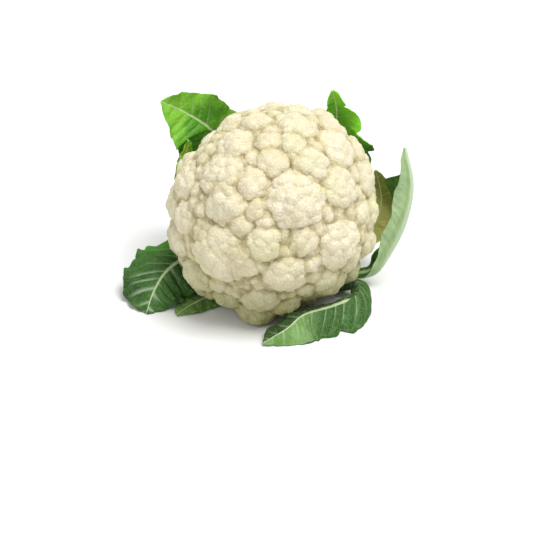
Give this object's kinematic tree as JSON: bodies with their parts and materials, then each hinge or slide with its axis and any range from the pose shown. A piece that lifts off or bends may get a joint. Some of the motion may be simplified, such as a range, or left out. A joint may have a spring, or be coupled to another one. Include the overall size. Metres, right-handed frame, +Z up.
{
  "type": "cauliflower",
  "caption": "Whole white cauliflower head with its green leaves, tipped towards the front and resting on its curd and lower leaves.",
  "frame": {"origin": "on the surface it rests on, under the middle of the whole outline", "axes": "+Z up from that surface, +X along the widest spread of the leaves, -Y towards the side that the head leans to"},
  "size_m": [0.2269, 0.1964, 0.156],
  "materials": {
    "curd": "matte",
    "stalk": "satin",
    "leaf_bright": "satin",
    "leaf_pale": "matte",
    "leaf_dark": "satin",
    "leaf_young": "satin"
  },
  "bodies": {
    "root": {"curd": "curd", "stem": "stalk", "leaf_back_left": "leaf_bright", "leaf_back_right": "leaf_bright", "leaf_right": "leaf_pale", "leaf_right_inner": "leaf_young", "leaf_front_right": "leaf_pale", "leaf_front_left": "leaf_dark", "leaf_front_left_under": "leaf_dark", "leaf_back_left_inner": "leaf_young", "leaf_back": "leaf_dark", "cut_stalk_left": "stalk", "cut_stalk_front": "stalk"}
  },
  "joints": []
}
